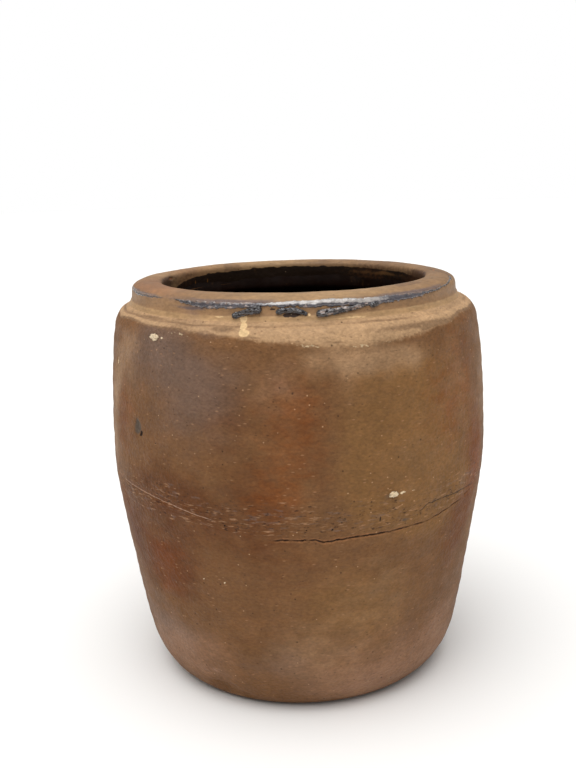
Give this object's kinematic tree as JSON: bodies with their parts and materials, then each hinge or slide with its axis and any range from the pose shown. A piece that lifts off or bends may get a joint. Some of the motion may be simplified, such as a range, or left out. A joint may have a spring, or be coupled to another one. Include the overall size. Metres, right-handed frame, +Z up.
{
  "type": "butter crock",
  "caption": "Tall salt-fired stoneware butter crock with a bowed body, a luted seam at mid height, a stepped shoulder, a thick collar rim and dark glaze runs on one side.",
  "frame": {"origin": "centre of the flat underside, on the surface that the crock stands on", "axes": "+Z up along the axis of the jar, -Y towards the side with the glaze runs, +X to its right"},
  "size_m": [0.32, 0.32, 0.336],
  "materials": {
    "stoneware_body": "salt-fired stoneware, orange-peel surface, brown to tan with rust flashes",
    "stoneware_rim": "salt-fired stoneware, smooth and tan",
    "luting_slip": "dry slip in the seam, matte",
    "liner_glaze": "near-black brown glaze, glossy",
    "kiln_glaze": "dark grey run glaze, glossy",
    "burnt_lime": "pale chalky grain, matte"
  },
  "bodies": {
    "root": {"floor_slab": "stoneware_body", "lower_wall": "stoneware_body", "seam_slip": "luting_slip", "upper_wall": "stoneware_body", "shoulder_ring": "stoneware_body", "rim_collar": "stoneware_rim", "liner_glaze": "liner_glaze", "glaze_band_side": "kiln_glaze", "glaze_band_front": "kiln_glaze", "glaze_run_left": "kiln_glaze", "glaze_run_middle": "kiln_glaze", "glaze_run_right": "kiln_glaze", "glaze_bead": "kiln_glaze", "lime_grain_shoulder": "burnt_lime", "lime_grain_belly": "burnt_lime"}
  },
  "joints": []
}
